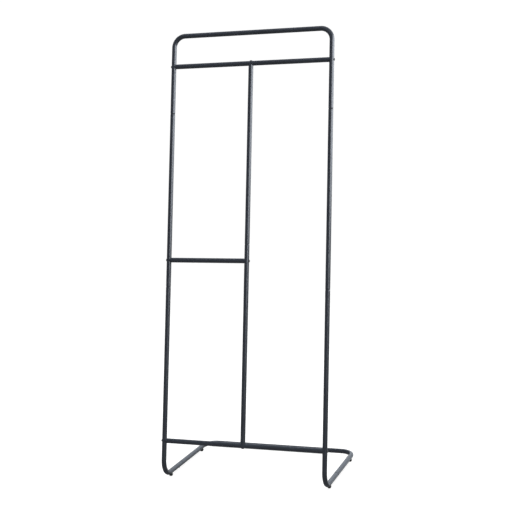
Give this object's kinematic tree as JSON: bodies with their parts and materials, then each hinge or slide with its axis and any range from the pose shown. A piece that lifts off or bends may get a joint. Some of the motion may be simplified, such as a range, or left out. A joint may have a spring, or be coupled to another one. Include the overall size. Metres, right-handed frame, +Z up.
{
  "type": "valet stand",
  "caption": "Leaning valet stand of black powder-coated steel tube: a rounded frame on a low U base, with hanging rails and a divider post.",
  "frame": {"origin": "on the floor, at the centre of the stand's footprint", "axes": "+Z up; +X to the right of a person facing the stand; +Y to the rear, the way the frame leans and the base reaches"},
  "size_m": [0.674, 0.496, 1.752],
  "materials": {
    "black_coat": "semi-gloss bluish-black powder coat with a fine orange-peel texture",
    "black_fixing": "black oxide, satin",
    "zinc_plug": "bright zinc plate",
    "foot_rubber": "moulded, matt"
  },
  "bodies": {
    "root": {"bow_screws": "black_fixing", "foot_front_left": "foot_rubber", "foot_front_right": "foot_rubber", "foot_rear_left": "foot_rubber", "foot_rear_right": "foot_rubber", "leg_left": "black_coat", "leg_right": "black_coat", "lower_rail": "black_coat", "lower_rail_bolts": "black_fixing", "lower_rail_plugs": "zinc_plug", "post_bolts": "black_fixing", "post_lower": "black_coat", "post_plugs": "zinc_plug", "post_upper": "black_coat", "rear_bow": "black_coat", "short_rail": "black_coat", "short_rail_bolts": "black_fixing", "short_rail_plugs": "zinc_plug", "top_hoop": "black_coat", "upper_rail": "black_coat", "upper_rail_bolts": "black_fixing", "upper_rail_plugs": "zinc_plug", "upright_left": "black_coat", "upright_right": "black_coat"}
  },
  "joints": []
}
